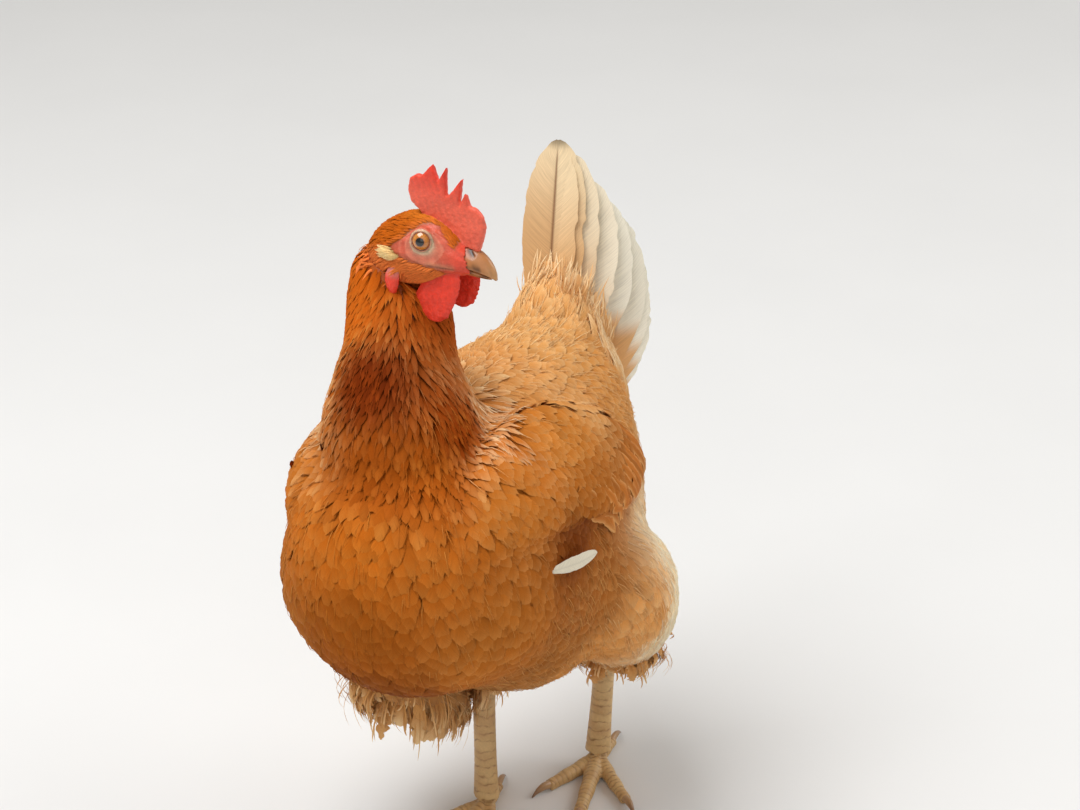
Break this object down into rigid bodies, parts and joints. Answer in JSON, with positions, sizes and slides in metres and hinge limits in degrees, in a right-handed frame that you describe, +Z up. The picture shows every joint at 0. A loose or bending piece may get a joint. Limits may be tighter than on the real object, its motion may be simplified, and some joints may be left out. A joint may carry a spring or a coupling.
{
  "type": "hen",
  "caption": "Life-size laying hen standing with its head turned, a still display model with feathered body, single comb, fanned tail and bare legs.",
  "frame": {"origin": "on the floor, under the middle of the model's box", "axes": "+Z up, -Y towards the hen's front, +X to the hen's left"},
  "size_m": [0.1834, 0.2918, 0.4149],
  "materials": {
    "plumage_rust": "soft red-brown hackle feathers",
    "plumage_tan": "soft ginger body feathers with paler edges",
    "plumage_cream": "cream flight feathers with fine shafts and barbs",
    "red_flesh": "moist red skin with fine grain",
    "horn": "smooth horn, satin",
    "scaly_skin": "scaly yellow-tan leg skin",
    "eye": "wet, glossy"
  },
  "bodies": {
    "root": {"beak_lower": "horn", "beak_upper": "horn", "claw_left_hind": "horn", "claw_left_inner": "horn", "claw_left_middle": "horn", "claw_left_outer": "horn", "claw_right_hind": "horn", "claw_right_inner": "horn", "claw_right_middle": "horn", "claw_right_outer": "horn", "comb": "red_flesh", "earlobe_left": "red_flesh", "earlobe_right": "red_flesh", "eye_left": "eye", "eye_right": "eye", "head": "plumage_rust", "neck_lower": "plumage_rust", "neck_upper": "plumage_rust", "shank_left": "scaly_skin", "shank_right": "scaly_skin", "tail_coverts": "plumage_tan", "tail_left": "plumage_cream", "tail_right": "plumage_cream", "thigh_left": "plumage_tan", "thigh_right": "plumage_tan", "toe_left_hind": "scaly_skin", "toe_left_inner": "scaly_skin", "toe_left_middle": "scaly_skin", "toe_left_outer": "scaly_skin", "toe_right_hind": "scaly_skin", "toe_right_inner": "scaly_skin", "toe_right_middle": "scaly_skin", "toe_right_outer": "scaly_skin", "trunk": "plumage_tan", "wattle_left": "red_flesh", "wattle_right": "red_flesh", "wing_left_coverts": "plumage_tan", "wing_left_quills": "plumage_tan", "wing_left_shoulder": "plumage_tan", "wing_right_coverts": "plumage_tan", "wing_right_quills": "plumage_tan", "wing_right_shoulder": "plumage_tan"}
  },
  "joints": []
}
